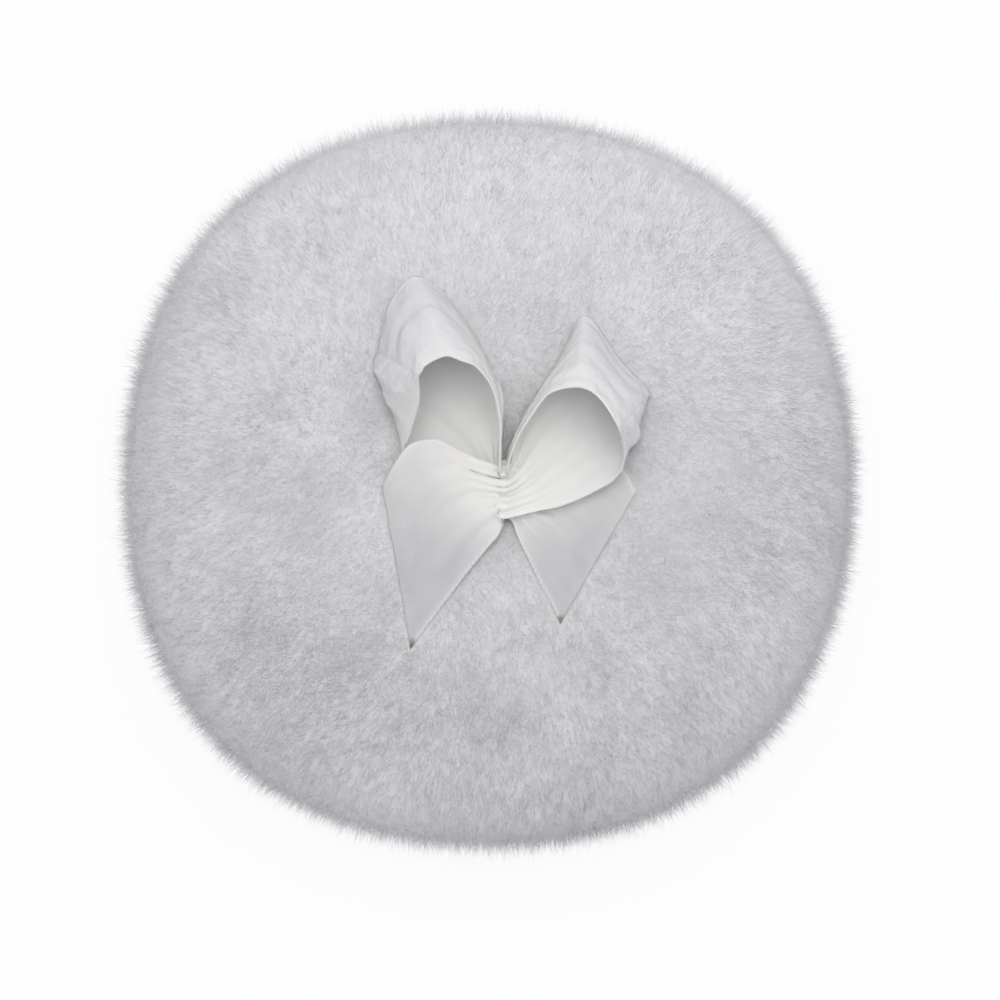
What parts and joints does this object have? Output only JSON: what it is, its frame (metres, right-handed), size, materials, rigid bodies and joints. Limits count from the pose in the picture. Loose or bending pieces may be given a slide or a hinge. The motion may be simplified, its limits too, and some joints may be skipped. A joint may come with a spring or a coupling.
{
  "type": "powder puff",
  "caption": "Round soft puff for body powder, with long white plush pile on both sides and a gathered satin ribbon bow sewn to its crown.",
  "frame": {"origin": "on the surface that the puff lies on, under the middle of its rim", "axes": "+Z up through the crown, +Y the way the bow's two loops reach, +X towards the right loop seen from above with +Y up"},
  "size_m": [0.0924, 0.0924, 0.055],
  "materials": {
    "plush": "matte",
    "filling": "matte",
    "seam_thread": "satin",
    "satin": "satin",
    "bow_thread": "satin"
  },
  "bodies": {
    "root": {"top_plush": "plush", "bottom_plush": "plush", "fibre_filling": "filling", "rim_seam_thread": "seam_thread", "closing_thread": "seam_thread", "bow_ribbon": "satin", "bow_gathering_thread": "bow_thread", "bow_tack_thread": "bow_thread"}
  },
  "joints": []
}
